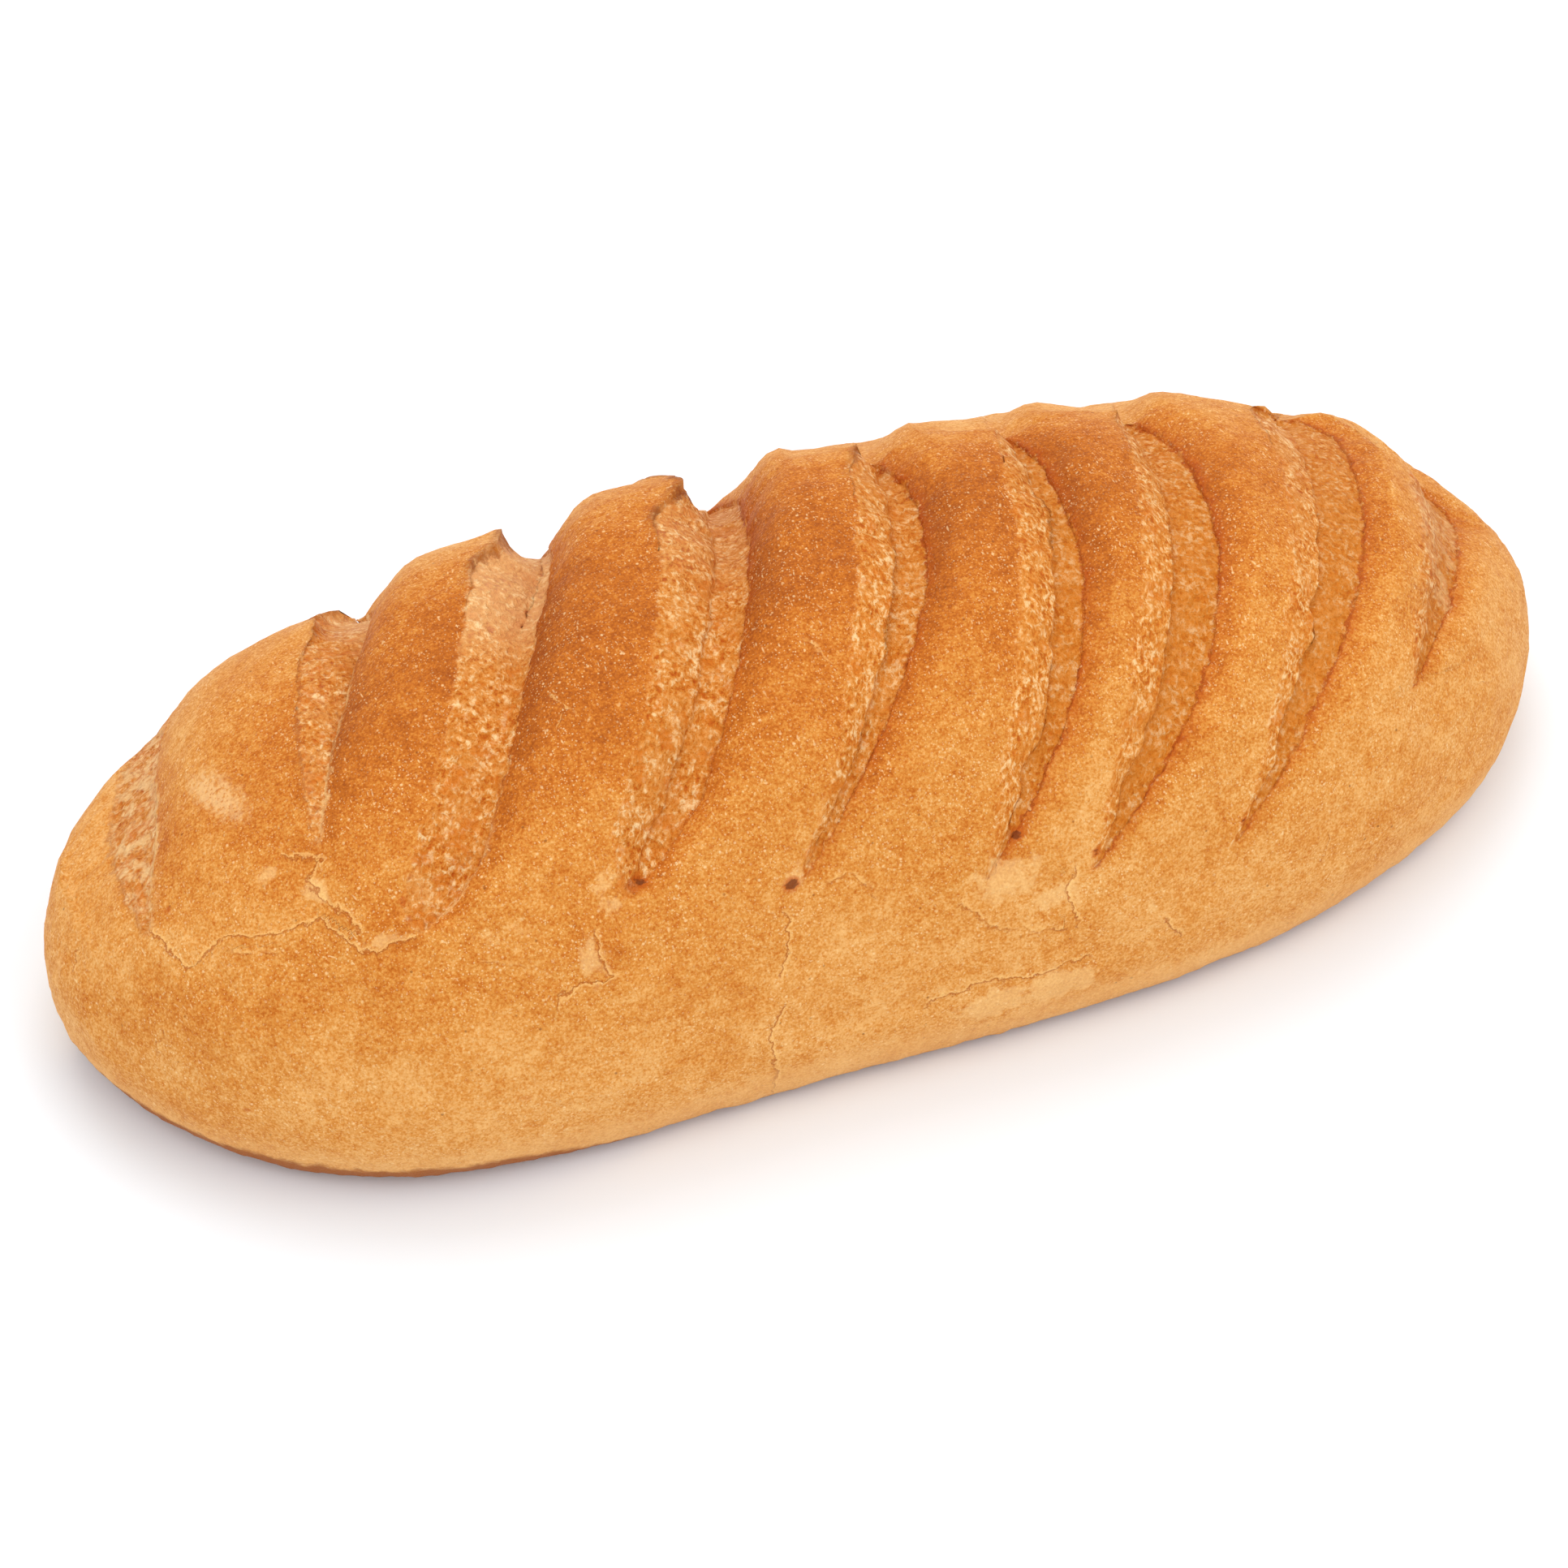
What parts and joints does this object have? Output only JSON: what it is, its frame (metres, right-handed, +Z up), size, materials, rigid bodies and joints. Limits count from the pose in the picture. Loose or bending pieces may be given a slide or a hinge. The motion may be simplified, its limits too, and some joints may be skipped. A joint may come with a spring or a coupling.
{
  "type": "bloomer loaf",
  "caption": "Long bloomer loaf of white bread with rounded ends, a flat base and diagonal slashes that opened in the oven.",
  "frame": {"origin": "centre of the loaf's box, at the height of its flat base", "axes": "+X along the loaf, +Z up, -Y towards the side from which the picture shows it"},
  "size_m": [0.32, 0.1342, 0.0867],
  "materials": {
    "crust": "golden brown baked crust, slightly rough, with paler torn crumb in the slashes"
  },
  "bodies": {
    "root": {"loaf": "crust"}
  },
  "joints": []
}
